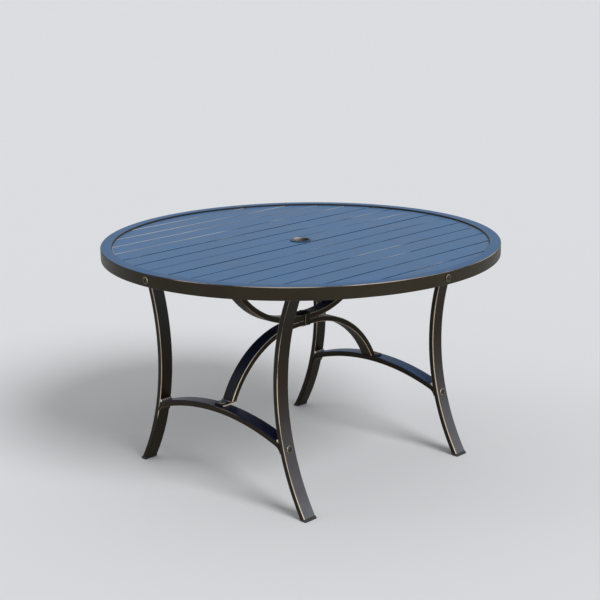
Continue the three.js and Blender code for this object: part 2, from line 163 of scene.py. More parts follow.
def tube_section(width, height, corner):
    """Round a tube's outline, as (across, up, rub): rub is 1 on the corners, and fades to 0 on the
    flats beside them, over rub_band."""
    flat = corner + rub_band
    points = []
    for across, up, start in ((1, -1, -90), (1, 1, 0), (-1, 1, 90), (-1, -1, 180)):
        middle = Vector((across * (width / 2 - corner), up * (height / 2 - corner)))
        corner_points = []
        for step in range(arc_steps + 1):
            angle = math.radians(start + 90 * step / arc_steps)
            point = middle + corner * Vector((math.cos(angle), math.sin(angle)))
            corner_points.append((point.x, point.y, corner_rub(step)))
        side = (across * width / 2, up * (height / 2 - flat), 0)
        end = (across * (width / 2 - flat), up * height / 2, 0)
        before, after = (side, end) if across == up else (end, side)
        points += [before, *corner_points, after]
    return points


def loft(rings, ends="flat"):
    """A skin over rings of (x, y, z, rub) points. It is closed at each end by one flat face or by
    a strip of faces from one half of the ring to the other, or it is joined into a hoop."""
    count = len(rings[0])
    spans = len(rings) if ends == "joined" else len(rings) - 1
    faces = []
    for span in range(spans):
        here, there = span * count, (span + 1) % len(rings) * count
        for k in range(count):
            after = (k + 1) % count
            faces.append((here + k, here + after, there + after, there + k))
    if ends != "joined":
        for start in (0, (len(rings) - 1) * count):
            if ends == "flat":
                faces.append(tuple(range(start, start + count)))
            else:
                faces += [(start + k, start + k + 1, start + count - 2 - k, start + count - 1 - k)
                          for k in range(count // 2 - 1)]
    return [point for ring in rings for point in ring], faces


def around(section, steps, wear_and_shade=lambda turn: 1):
    """A hoop about the table's axis, from a closed section of (radius, height, rub) points. wear
    gives how much of the rub there is in each direction."""
    turns = [math.tau * step / steps for step in range(steps)]
    rings = [[(r * math.cos(turn), r * math.sin(turn), z, rub_and_painted_light * wear_and_shade(turn)) for r, z, rub_and_painted_light in section]
             for turn in turns]
    return loft(rings, "joined")


def build(name, parts, material, slot, *nodes):
    """One piece of the table made from lofted parts. It stands for the CAD nodes named."""
    points, faces = [], []
    for part_points, part_faces in parts:
        faces += [[corner + len(points) for corner in face] for face in part_faces]
        points += part_points
    mesh = bpy.data.meshes.new(name)
    mesh.from_pydata([point[:3] for point in points], [], faces)
    # This attribute holds the rubbed bronze lines, with painted highlights in some places and painted shade
    # in others.
    rub_and_painted_light = mesh.attributes.new("rub_and_painted_light", "FLOAT", "POINT")
    rub_and_painted_light.data.foreach_set("value", [point[3] for point in points])
    shell = bmesh.new()
    shell.from_mesh(mesh)
    bmesh.ops.recalc_face_normals(shell, faces=shell.faces)
    shell.to_mesh(mesh)
    shell.free()
    mesh.shade_smooth()
    mesh.set_sharp_from_angle(angle=sharp_angle)
    mesh.materials.append(material)
    piece = bpy.data.objects.new(name, mesh)
    bpy.context.scene.collection.objects.link(piece)
    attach(piece, "root")
    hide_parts(*nodes)
    return piece


def antique_coat(name, coat, cloudy, sky_reflection_tone, bronze, coat_roughness, gloss, worn_from, patch_size,
                 patch_depth=1.0, fade_from=0.85, cloud_size=90 * mm):
    """Powder coat on steel: a fine orange peel, and clouds of a paler tone. Where it faces up, from the
    slope fade_from to the level, it is painted towards a paler tone, a painted sky reflection. It is worn
    to bronze at the edges, where the rub and painted light in the mesh, the patches and the grit together
    come above worn_from."""
    # Chips at a worn edge and the dimples of orange peel, both at their real size.
    grit_size = 3.5 * mm
    grit_share = 0.3
    peel_size = 2.2 * mm
    peel_depth = 0.05 * mm
    worn_band = 0.35
    level_slope = 0.99
    roughness_spread = 0.08
    bronze_roughness = 0.4
    bronze_metal = 0.3
    material = new_material(name)
    tree = material.node_tree
    place = add_node(tree, "ShaderNodeTexCoord").outputs["Object"]
    cloud = add_node(tree, "ShaderNodeTexNoise", {"Vector": place, "Scale": 1 / cloud_size, "Detail": 4.0})
    patch = add_node(tree, "ShaderNodeTexNoise", {"Vector": place, "Scale": 1 / patch_size, "Detail": 2.0})
    grit = add_node(tree, "ShaderNodeTexNoise", {"Vector": place, "Scale": 1 / grit_size, "Detail": 3.0})
    peel = add_node(tree, "ShaderNodeTexNoise", {"Vector": place, "Scale": 1 / peel_size, "Detail": 1.0})
    rub_and_painted_light = add_node(tree, "ShaderNodeAttribute", attribute_name="rub_and_painted_light")
    patched = add_node(tree, "ShaderNodeMath",
                       {0: patch.outputs["Fac"], 1: patch_depth, 2: rub_and_painted_light.outputs["Fac"]},
                       operation="MULTIPLY_ADD")
    gritty = add_node(tree, "ShaderNodeMath",
                      {0: grit.outputs["Fac"], 1: grit_share, 2: patched.outputs[0]},
                      operation="MULTIPLY_ADD")
    worn = add_node(tree, "ShaderNodeMapRange",
                    {"Value": gritty.outputs[0], "From Min": worn_from, "From Max": worn_from + worn_band},
                    interpolation_type="SMOOTHSTEP")
    normal = add_node(tree, "ShaderNodeNewGeometry").outputs["Normal"]
    facing = add_node(tree, "ShaderNodeSeparateXYZ", {0: normal})
    haze = add_node(tree, "ShaderNodeMapRange",
                    {"Value": cloud.outputs["Fac"], "From Min": 0.35, "From Max": 0.65,
                     "To Min": 0.84, "To Max": 1.0})
    # Painted sky reflection: faces that look up are painted towards the paler tone.
    sky_facing = add_node(tree, "ShaderNodeMapRange",
                      {"Value": facing.outputs["Z"], "From Min": fade_from, "From Max": level_slope,
                       "To Max": haze.outputs[0]}, interpolation_type="SMOOTHSTEP")
    body = add_node(tree, "ShaderNodeMix",
                    {"Factor": cloud.outputs["Fac"], "A": linear(coat), "B": linear(cloudy)},
                    data_type="RGBA")
    faded = add_node(tree, "ShaderNodeMix",
                     {"Factor": sky_facing.outputs[0], "A": body.outputs["Result"], "B": linear(sky_reflection_tone)},
                     data_type="RGBA")
    colour = add_node(tree, "ShaderNodeMix",
                      {"Factor": worn.outputs[0], "A": faded.outputs["Result"], "B": linear(bronze)},
                      data_type="RGBA")
    satin = add_node(tree, "ShaderNodeMapRange",
                     {"Value": cloud.outputs["Fac"], "To Min": coat_roughness - roughness_spread,
                      "To Max": coat_roughness + roughness_spread})
    roughness = add_node(tree, "ShaderNodeMix",
                         {"Factor": worn.outputs[0], "A": satin.outputs[0], "B": bronze_roughness})
    metal = add_node(tree, "ShaderNodeMath", {0: worn.outputs[0], 1: bronze_metal}, operation="MULTIPLY")
    bump = add_node(tree, "ShaderNodeBump",
                    {"Height": peel.outputs["Fac"], "Strength": 0.35, "Distance": peel_depth})
    paint = add_node(tree, "ShaderNodeBsdfPrincipled", {
        "Base Color": colour.outputs["Result"], "Roughness": roughness.outputs["Result"],
        "Metallic": metal.outputs[0], "Normal": bump.outputs[0], "Specular IOR Level": gloss})
    add_node(tree, "ShaderNodeOutputMaterial", {"Surface": paint.outputs[0]})
    return material


# Satin powder coat, oven cured: near black with a brown cast, and a painted blue sky reflection on the level
# top.
rim_coat = antique_coat("sky_tinted_bronze_powder_coat", coat="#29241a", cloudy="#332e23", sky_reflection_tone="#2b5a87",
                        bronze="#aa9d8f", coat_roughness=0.4, gloss=0.1, worn_from=1.22,
                        patch_size=160 * mm)

# The outer top edge is rubbed the most, by arms and chairs, and on the right more than on the left.
rim_edge_rub = 0.92
rim_other_rub = 0.6
rim_least_wear = 0.5
rim_worn_turn = math.radians(-25)


def rim_wear(turn):
    """How much of its rub the rim has in each direction."""
    return rim_least_wear + (1 - rim_least_wear) * max(0, math.cos(turn - rim_worn_turn))


rim_low, rim_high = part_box("rim_hoop")
rim_radius = rim_high.x
rim_inner = rim_radius - rim_width
rim_middle = (rim_high.z + rim_low.z) / 2
rim_section = [(rim_radius - rim_width / 2 + across, rim_middle + up,
                rub_and_painted_light * (rim_edge_rub if up > 0 and across > 0 else rim_other_rub))
               for across, up, rub_and_painted_light in tube_section(rim_width, rim_high.z - rim_low.z, rim_corner)]
build("rim_tube", [around(rim_section, rim_steps, rim_wear)], rim_coat, "frame_coat", "rim_hoop")

# Slats
# Fifteen planks of sheet steel with their long edges folded down and their ends cut to the round of
# the rim. They are welded to the bars below, a few millimetres apart.
slats_a_side = 7
slat_sheet = 1.5 * mm
slat_corner = 2 * mm
slat_end_gap = 1 * mm
slat_end_edge = 0.8 * mm
slat_end_band = 3 * mm
slat_end_rub = 1.0
slat_hem_rub = 0.3
slat_steps = 14
shortest_half = 6 * mm
slat_low, slat_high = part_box("slat_middle")
slat_half = slat_high.x
slat_top = slat_high.z
slat_fold = slat_high.z - slat_low.z
slat_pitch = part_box("slat_right_1")[0].x + slat_half
slat_reach = rim_inner - slat_end_gap

# From the left to the right: how far each slat's edges are worn, and how many mm low it lies.
slat_wear = (1.2, 1.25, 1.2, 1.15, 0.88, 0.95, 0.98, 0.6, 0.88, 0.75, 0.88, 0.84, 0.82, 0.8, 0.8)
slat_sink = (0.0, 0.0, 0.1, 0.1, 0.0, 0.4, 0.6, 0.0, 0.5, 0.2, 0.3, 0.15, 0.0, 0.1, 0.1)

# The same kind of powder coat on sheet steel: the wide level faces, and the folds well down their round,
# carry a painted blue sky reflection, and the folded edges show thin broken lines of pale bronze.
slat_coat = antique_coat("slate_powder_coat", coat="#161e29", cloudy="#1c2532", sky_reflection_tone="#3d6894",
                         bronze="#aaadb4", coat_roughness=0.42, gloss=0.14, worn_from=1.95,
                         patch_size=260 * mm, patch_depth=2.0, fade_from=0.1, cloud_size=140 * mm)


def plank(number, side):
    """A folded plank, its outside and inside drawn across and its ends on the rim's circle. side
    is 1 for a plank on the right and -1 for its twin on the left."""
    wear_and_shade = slat_wear[number * side + slats_a_side]
    sink = slat_sink[number * side + slats_a_side] * mm
    low = number * slat_pitch - slat_half
    high = number * slat_pitch + slat_half
    widest = math.sqrt(slat_reach ** 2 - shortest_half ** 2)
    outer = [(low, -slat_fold, slat_hem_rub), (low, -slat_fold / 2, 0)]
    inner = [(low + slat_sheet, -slat_fold, slat_hem_rub), (low + slat_sheet, -slat_fold / 2, 0)]
    for step in range(arc_steps + 1):
        angle = math.pi * step / arc_steps / 2
        for line, radius, rub_and_painted_light in ((outer, slat_corner, corner_rub(step)),
                                  (inner, slat_corner - slat_sheet, 0)):
            across = low + slat_corner - radius * math.cos(angle)
            line.append((across, radius * math.sin(angle) - slat_corner, rub_and_painted_light))
    first = low + slat_corner + rub_band
    last = min(high - slat_corner - rub_band, widest)
    turn = math.asin(first / slat_reach)
    sweep = math.asin(last / slat_reach) - turn
    for step in range(slat_steps + 1):
        across = slat_reach * math.sin(turn + sweep * step / slat_steps)
        outer.append((across, 0, 0))
        inner.append((across, -slat_sheet, 0))
    # Each plank has a second fold at its far side, except the outermost, which meets the rim first.
    if high < widest:
        for line in (outer, inner):
            line += [(low + high - x, z, rub_and_painted_light) for x, z, rub_and_painted_light in reversed(line[:arc_steps + 3])]
    section = outer + inner[::-1]
    rings = []
    for end, along, rub_at_end in ((-1, 0, slat_end_rub), (-1, slat_end_edge, slat_end_rub),
                                   (-1, slat_end_band, 0), (1, slat_end_band, 0),
                                   (1, slat_end_edge, slat_end_rub), (1, 0, slat_end_rub)):
        rings.append([(side * x, end * (math.sqrt(slat_reach ** 2 - x ** 2) - along),
                       slat_top - sink + z * (1 - sink / slat_fold), max(rub_and_painted_light * wear_and_shade, rub_at_end))
                      for x, z, rub_and_painted_light in section])
    return loft(rings, "strip")


middle_slat = build("plank_middle", [plank(0, 1)], slat_coat, "slat_coat", "slat_middle")
for number in range(1, slats_a_side + 1):
    for side, sign in (("right", 1), ("left", -1)):
        build(f"plank_{side}_{number}", [plank(number, sign)], slat_coat, "slat_coat",
              f"slat_{side}_{number}")

# The umbrella's hole is drilled through the middle slat.
hole_radius = 30.3 * mm
hole_steps = 64
hole_turns = [math.tau * step / hole_steps for step in range(hole_steps)]
drill_rings = [[(hole_radius * math.cos(turn), hole_radius * math.sin(turn), level, 0) for turn in hole_turns]
               for level in (slat_top - slat_fold * 2, slat_top + slat_fold)]
drill = build("drill", [loft(drill_rings)], slat_coat, "slat_coat")
cut = middle_slat.modifiers.new("umbrella_hole", "BOOLEAN")
cut.object = drill
bpy.context.view_layer.update()
drilled = middle_slat.evaluated_get(bpy.context.evaluated_depsgraph_get())
middle_slat.data = bpy.data.meshes.new_from_object(drilled)
middle_slat.data.set_sharp_from_angle(angle=sharp_angle)
middle_slat.modifiers.clear()
bpy.data.objects.remove(drill)

# Umbrella ring
# A flanged steel liner pressed into the hole of the middle slat, with a rounded lip that stands a
# little above it. One side of the bore and the inner lip carry a painted highlight, where light from the
# right falls on them; the rest stays dark.
ring_bore = 28 * mm
ring_sleeve = 30 * mm
ring_thickness = 2.5 * mm
ring_edge = 1.2 * mm
ring_lip_highlight = 0.8
ring_bore_highlight = 0.9
ring_steps = 96
# Painted highlight: the side of the bore that is painted pale, where the light falls.
highlight_turn = math.radians(160)
highlight_focus = 6
off_highlight_share = 0.1


def flanged(bore, sleeve, flange, bottom, seat, top, edge, lip_highlight=0, bore_highlight=0):
    """Section of a liner: a sleeve that hangs from a flange with a rounded lip. The inner edge, and the
    bore below it less and less, are given a painted highlight by the last two arguments."""
    def rounded(middle, start, sweep, rub_and_painted_light):
        angles = [math.radians(start + sweep * step / arc_steps) for step in range(arc_steps + 1)]
        return [(middle + edge * math.cos(angle), top - edge + edge * math.sin(angle), rub_and_painted_light)
                for angle in angles]

    flat = edge * 1.6
    return [(bore, bottom, 0), (sleeve, bottom, 0), (sleeve, seat, 0), (flange - edge / 2, seat, 0),
            *rounded(flange - edge, -30, 120, 0), (flange - flat, top, 0), (bore + flat, top, 0),
            *rounded(bore + edge, 90, 90, lip_highlight),
            (bore, top - edge * 2, bore_highlight), (bore, top - edge * 6, bore_highlight / 3)]


def painted_bore_highlight(turn):
    """How bright the painted highlight on the bore is in each direction."""
    return off_highlight_share + (1 - off_highlight_share) * max(0, math.cos(turn - highlight_turn)) ** highlight_focus


def lacquered_steel(name):
    """Turned steel under a smoky lacquer: it mirrors softly, streaked along the turning marks. It is
    dark on its walls, has a painted blue sky reflection where it is level, and a pale painted highlight where
    the mesh marks one."""
    # Real turning marks are about 0.2 mm apart. They are drawn coarser, so that they show.
    streak_size = 0.8 * mm
    streak_depth = 0.03 * mm
    wall_tone = "#2e2c29"
    level_sky_reflection = "#3c6490"
    highlight_tone = "#cfc9bf"
    wall_metal = 0.35
    material = new_material(name)
    tree = material.node_tree
    place = add_node(tree, "ShaderNodeTexCoord").outputs["Object"]
    parts = add_node(tree, "ShaderNodeSeparateXYZ", {0: place})
    streaks = add_node(tree, "ShaderNodeTexNoise",
                       {"W": parts.outputs["Z"], "Scale": 1 / streak_size, "Detail": 2.0},
                       noise_dimensions="1D")
    normal = add_node(tree, "ShaderNodeNewGeometry").outputs["Normal"]
    facing = add_node(tree, "ShaderNodeSeparateXYZ", {0: normal})
    level = add_node(tree, "ShaderNodeMapRange",
                     {"Value": facing.outputs["Z"], "From Min": 0.85, "From Max": 0.99},
                     interpolation_type="SMOOTHSTEP")
    rub_and_painted_light = add_node(tree, "ShaderNodeAttribute", attribute_name="rub_and_painted_light")
    tinted = add_node(tree, "ShaderNodeMix",
                      {"Factor": level.outputs[0], "A": linear(wall_tone), "B": linear(level_sky_reflection)},
                      data_type="RGBA")
    # Painted highlight: pale where the mesh's attribute is high.
    colour = add_node(tree, "ShaderNodeMix",
                      {"Factor": rub_and_painted_light.outputs["Fac"], "A": tinted.outputs["Result"], "B": linear(highlight_tone)},
                      data_type="RGBA")
    metal = add_node(tree, "ShaderNodeMath", {0: wall_metal, 1: level.outputs[0]},
                     operation="SUBTRACT", use_clamp=True)
    bump = add_node(tree, "ShaderNodeBump",
                    {"Height": streaks.outputs["Fac"], "Strength": 0.5, "Distance": streak_depth})
    steel = add_node(tree, "ShaderNodeBsdfPrincipled", {
        "Base Color": colour.outputs["Result"], "Metallic": metal.outputs[0], "Roughness": 0.5,
        "Normal": bump.outputs[0], "Specular IOR Level": 0.2})
    add_node(tree, "ShaderNodeOutputMaterial", {"Surface": steel.outputs[0]})
    return material


ring_coat = lacquered_steel("lacquered_ring_steel")
ring_low, ring_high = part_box("umbrella_ring")
ring_section = flanged(ring_bore, ring_sleeve, ring_high.x, ring_low.z, ring_high.z - ring_thickness,
                       ring_high.z, ring_edge, ring_lip_highlight, ring_bore_highlight)
build("ring_liner", [around(ring_section, ring_steps, painted_bore_highlight)], ring_coat, "ring_coat", "umbrella_ring")

# Cross rails
# Two lengths of flat steel tube, 45 by 18 mm, that lie across under the slats from rim to rim, one
# over each row of legs. Short beads of weld tie the slats to them.
clearance = 0.3 * mm
tube_corner = 3 * mm
tack_length = 7 * mm
tack_size = 1.6 * mm
tack_margin = 8 * mm

# A bead of weld swells and thins along its length. It is drawn round with eight sides, which are
# turned from a direction that no bead on the table runs along.
weld_sides = 8
weld_least = 0.86
weld_swell = 0.24
off_line = Vector((0.31, 0.22, 0.92))

# The rim's powder coat painted darker, as painted shade for the parts under the top: near black brown,
# with a dark blue painted sky reflection where it faces up, and a warm bronze line along every corner.
shaded_frame_paint = {"coat": "#231b0f", "cloudy": "#2c2415", "coat_roughness": 0.38, "gloss": 0.09,
               "patch_size": 160 * mm}
frame_coat = antique_coat("shaded_bronze_powder_coat", sky_reflection_tone="#141e37", bronze="#bda88f",
                          worn_from=1.22, fade_from=-0.05, **shaded_frame_paint)


def straight_tube(low, high, corner, start, finish, along):
    """A tube along X or Y. low and high are its lowest and highest corner, and each of its long
    edges runs from start to finish, which are found from the edge's own place across."""
    width_axis = 1 - along
    width = high[width_axis] - low[width_axis]
    centre = (low[width_axis] + high[width_axis]) / 2
    middle = (low[2] + high[2]) / 2
    rings = []
    for reach in (start, finish):
        ring = []
        for across, up, rub_and_painted_light in tube_section(width, high[2] - low[2], corner):
            point = [0, 0, middle + up, rub_and_painted_light]
            point[width_axis] = centre + across
            point[along] = reach(centre + across)
            ring.append(tuple(point))
        rings.append(ring)
    return loft(rings)


def to_rim(sign):
    """How far a tube may go before it meets the rim, from its place across."""
    return lambda across: sign * math.sqrt((rim_inner - clearance) ** 2 - across ** 2)


def weld(path, radius, closed=True, crest_rub_and_highlight=0.6, ripple=2.6 * mm):
    """A bead of weld along a path, rippled as the torch moved on. The coat lies over it, and the fourth
    argument sets how pale its crests are: rubbed through, and on some beads a painted highlight as well. An
    open bead tapers off at its two ends."""
    spacing = ripple / 4
    points = [Vector(point) for point in path]
    if closed:
        points.append(points[0])
    fine = [points[0]]
    for start, end in zip(points, points[1:]):
        pieces = max(1, round((end - start).length / spacing))
        fine += [start.lerp(end, piece / pieces) for piece in range(1, pieces + 1)]
    if closed:
        fine.pop()
    rings = []
    travelled = 0
    for k, point in enumerate(fine):
        before = fine[k - 1] if closed or k else point
        after = fine[(k + 1) % len(fine)] if closed or k + 1 < len(fine) else point
        travelled += (point - before).length if k else 0
        along = (after - before).normalized()
        side = along.cross(off_line).normalized()
        up = side.cross(along)
        swell = 0.5 + 0.5 * math.sin(math.tau * travelled / ripple)
        size = radius * (weld_least + weld_swell * swell)
        if not closed and k in (0, len(fine) - 1):
            size = radius / 3
        rings.append([(*(point + size * (math.cos(turn) * side + math.sin(turn) * up)), crest_rub_and_highlight * swell)
                      for turn in [math.tau * step / weld_sides for step in range(weld_sides)]])
    return loft(rings, "joined" if closed else "flat")


def tacks(side):
    """Short beads of weld where the folded edges of the slats cross one side of a bar."""
    reach = to_rim(1)(side) - tack_margin
    level = slat_low.z
    beads = []
    for number in range(-slats_a_side, slats_a_side + 1):
        for edge in (-1, 1):
            x = number * slat_pitch + edge * slat_half
            if abs(x) < reach:
                line = [(x - tack_length / 2, side, level), (x + tack_length / 2, side, level)]
                beads.append(weld(line, tack_size, closed=False))
    return beads


for row in ("back", "front"):
    low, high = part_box(f"cross_rail_{row}")
    rail = straight_tube(low, high, tube_corner, to_rim(-1), to_rim(1), 0)
    build(f"rail_{row}", [rail, *tacks(low.y), *tacks(high.y)], frame_coat, "frame_coat", f"cross_rail_{row}")

# Bearer bar and rim stays
# Square bar, 20 mm: one length passes beside the umbrella ring from rim to rim, and two short ones
# tie the cross rails to the rim. The rim bolts go into their ends.
bar_corner = 2 * mm
low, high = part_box("bearer_bar")
bearer = straight_tube(low, high, bar_corner, to_rim(-1), to_rim(1), 0)
build("bearer", [bearer, *tacks(low.y)], frame_coat, "frame_coat", "bearer_bar")
for row, sign in (("back", 1), ("front", -1)):
    low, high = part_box(f"rim_stay_{row}")
    inside = low.y if sign > 0 else high.y
    stay = straight_tube(low, high, bar_corner, lambda across: inside, to_rim(sign), 1)
    build(f"stay_{row}", [stay], frame_coat, "frame_coat", f"rim_stay_{row}")

# Legs
# The flat tube bent to one long arc, so that it leans outwards at the top and at the foot. A plate
# with two bolt holes is welded on top, with a bead of weld all round.
tube_width = 45 * mm
tube_thickness = 18 * mm
leg_bend = 705 * mm
waist_height = 368 * mm
leg_steps = 48
plate_length = 84 * mm
plate_thickness = 4 * mm
plate_corner = 8 * mm
plate_edge = 0.8 * mm
plate_face_rub = 0.6
plate_side_rub = 0.9
plate_bead_size = 2.2 * mm
plate_bead_gap = 1 * mm
leg_low, leg_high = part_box("leg_back_right")
leg_row = (leg_low.y + leg_high.y) / 2
plate_top = leg_high.z
plate_bottom = plate_top - plate_thickness
leg_top_x = leg_high.x - plate_length / 2
leg_centre_x = leg_top_x + math.sqrt(leg_bend ** 2 - (plate_bottom - waist_height) ** 2)

# How far the bronze shows on each leg. Below the stretcher the inner corner lines are painted dimmer, as
# painted shade, and the outer ones dimmer and dimmer towards the top, as painted shade under the table top.
leg_wear = {"back_left": 0.75, "back_right": 1.05, "front_left": 1.08, "front_right": 0.85}
outer_wear = 1.12
knee_height = 200 * mm
knee_fade = 50 * mm
knee_shade = 0.45
top_shade_height = 330 * mm
top_shade_fade = 330 * mm
top_shade = 0.42

# The frame's powder coat, painted grey where the legs lean out to face up: a painted sky reflection.
leg_coat = antique_coat("sky_tinted_leg_powder_coat", coat="#1d160b", cloudy="#271f12", sky_reflection_tone="#7a7c84",
                        bronze="#d2c1aa", coat_roughness=0.38, gloss=0.12, worn_from=1.2,
                        patch_size=160 * mm, fade_from=-0.1)


def leg_slice(level, section):
    """A level slice through the right leg: the tube's outline, bent about the leg's centre."""
    # Painted shade: the corner lines are dimmed low on the inner corners and high on the outer ones.
    below = min(1, max(0, (knee_height - level) / knee_fade))
    above = min(1, max(0, (level - top_shade_height) / top_shade_fade))
    inside_wear_and_shade = 1 - knee_shade * below
    outside_wear_and_shade = outer_wear - top_shade * above
    return [(leg_centre_x - math.sqrt((leg_bend + inwards) ** 2 - (level - waist_height) ** 2), side, level,
             rub_and_painted_light * (inside_wear_and_shade if inwards > 0 else outside_wear_and_shade)) for inwards, side, rub_and_painted_light in section]


def plate(x_low, x_high, width, z_low, z_high, corner):
    """A flat plate with round corners, its edges a little softened and rubbed."""
    flat = plate_edge + rub_band
    rings = []
    for level, inset, rub_and_painted_light in ((z_low, flat, 0), (z_low, plate_edge, plate_face_rub),
                              (z_low + plate_edge, 0, plate_side_rub),
                              (z_high - plate_edge, 0, plate_side_rub),
                              (z_high, plate_edge, plate_face_rub), (z_high, flat, 0)):
        section = tube_section(x_high - x_low - inset * 2, width - inset * 2, corner - inset)
        rings.append([((x_low + x_high) / 2 + x, y, level,
                       rub_and_painted_light if abs(y) > width / 2 - corner / 2 else rub_and_painted_light / 2) for x, y, _ in section])
    return loft(rings)


def moved(part, matrix, wear_and_shade=1):
    """The part in another place, its rub taken times wear."""
    points, faces = part
    return [(*(matrix @ Vector(point[:3])), point[3] * wear_and_shade) for point in points], faces


def stand(row, end):
    """The move that takes a part made for a right-hand leg to the leg in this row, at this end."""
    place = Matrix.Translation((0, leg_row if row == "back" else -leg_row, 0))
    return place @ Matrix.Scale(-1, 4, (1, 0, 0)) if end == "left" else place


leg_section = tube_section(tube_thickness, tube_width, tube_corner)
lean = math.asin((plate_bottom - waist_height) / leg_bend)
dip = math.asin((waist_height - leg_low.z) / leg_bend)
levels = [waist_height + leg_bend * math.sin(lean - (lean + dip) * step / leg_steps)
          for step in range(leg_steps + 1)]
leg_tube = loft([leg_slice(level, leg_section) for level in levels])
top_plate = plate(leg_top_x - plate_length / 2, leg_top_x + plate_length / 2, tube_width,
                  plate_bottom, plate_top, plate_corner)

# The bead lies just under the plate. It stands out from the tube's broad faces and not beyond its
# narrow ones.
bead_section = tube_section(tube_thickness + plate_bead_gap * 2, tube_width - plate_bead_gap * 2, tube_corner)
bead_slice = leg_slice(plate_bottom - plate_bead_gap, bead_section)
plate_bead = weld([point[:3] for point in bead_slice], plate_bead_size)
for row in ("back", "front"):
    for end in ("left", "right"):
        wear_and_shade = leg_wear[f"{row}_{end}"]
        leg = [moved(part, stand(row, end), wear_and_shade) for part in (leg_tube, top_plate, plate_bead)]
        build(f"stand_{row}_{end}", leg, leg_coat, "frame_coat", f"leg_{row}_{end}")

# Foot caps
# Black shoes of moulded polyethylene, pushed up into the ends of the legs. Each has a lip that
# stands out a little from the tube and keeps the steel off the ground.
cap_lip = 1 * mm
cap_top = leg_low.z - clearance


def moulded_black(name):
    """Black polyethylene from a mould: dull, with a fine grain and a trace of dust."""
    # The grain of a real mould is about 0.3 mm. It is drawn coarser, so that it shows.
    grain_size = 1.2 * mm
    grain_depth = 0.05 * mm
    dust_size = 18 * mm
    clean_tone = "#141414"
    dusty_tone = "#24221f"
    material = new_material(name)
    tree = material.node_tree
    place = add_node(tree, "ShaderNodeTexCoord").outputs["Object"]
    grain = add_node(tree, "ShaderNodeTexNoise", {"Vector": place, "Scale": 1 / grain_size, "Detail": 2.0})
    dust = add_node(tree, "ShaderNodeTexNoise", {"Vector": place, "Scale": 1 / dust_size, "Detail": 5.0})
    colour = add_node(tree, "ShaderNodeMix",
                      {"Factor": dust.outputs["Fac"], "A": linear(clean_tone), "B": linear(dusty_tone)},
                      data_type="RGBA")
    roughness = add_node(tree, "ShaderNodeMapRange",
                         {"Value": dust.outputs["Fac"], "To Min": 0.45, "To Max": 0.62})
    bump = add_node(tree, "ShaderNodeBump",
                    {"Height": grain.outputs["Fac"], "Strength": 0.4, "Distance": grain_depth})
    plastic = add_node(tree, "ShaderNodeBsdfPrincipled", {
        "Base Color": colour.outputs["Result"], "Roughness": roughness.outputs[0], "Normal": bump.outputs[0],
        "IOR": 1.51})
    add_node(tree, "ShaderNodeOutputMaterial", {"Surface": plastic.outputs[0]})
    return material


polyethylene = moulded_black("moulded_black_polyethylene")

# Each ring's level, and how far it lies inside the lip: rounded at the floor and softer at the top.
cap_rings = []
for level, inset in ((0, 1.2 * mm), (0.4 * mm, 0.4 * mm), (1.2 * mm, 0), (cap_top - 0.8 * mm, 0),
                     (cap_top - 0.2 * mm, 0.3 * mm), (cap_top, 0.8 * mm)):
    grown = (cap_lip - inset) * 2
    cap_section = tube_section(tube_thickness + grown, tube_width + grown, tube_corner)
    cap_rings.append(leg_slice(level, cap_section))
for row in ("back", "front"):
    for end in ("left", "right"):
        build(f"shoe_{row}_{end}", [moved(loft(cap_rings), stand(row, end))], polyethylene, "black_plastic",
              f"foot_cap_{row}_{end}")

# Stretchers
# The same flat tube bent to a low arch between the two legs of a row. Each end is cut to the leg's
# curve, and its underside sweeps down into a small foot that the bolt pulls against the leg.
half_tube = tube_thickness / 2
arch_bend = 760 * mm
arch_steps = 40
arch_rub = 0.62
flare = 28 * mm
flare_steps = 10
lug = 3 * mm


def leg_face(level):
    """The x of the leg's inner face at a level, less the clearance."""
    return leg_centre_x - math.sqrt((leg_bend + half_tube + clearance) ** 2 - (level - waist_height) ** 2)


# The sweep into the foot is an arc that touches the arch's underside and ends a lug's thickness off
# the leg, so its centre lies where a circle about the arch's centre crosses one about the leg's.
arch_centre_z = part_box("stretcher_back")[1].z - half_tube - arch_bend
arch_centre = Vector((0, arch_centre_z))
leg_centre = Vector((leg_centre_x, waist_height))
near = arch_bend - half_tube - flare
far = leg_bend + half_tube + lug + flare
apart = (leg_centre - arch_centre).length
along = (apart ** 2 + near ** 2 - far ** 2) / (apart * 2)
onward = (leg_centre - arch_centre).normalized()
sideways = Vector((-onward.y, onward.x))
flare_centre = arch_centre + along * onward + math.sqrt(near ** 2 - along ** 2) * sideways
flare_foot = flare_centre + flare * (leg_centre - flare_centre).normalized()


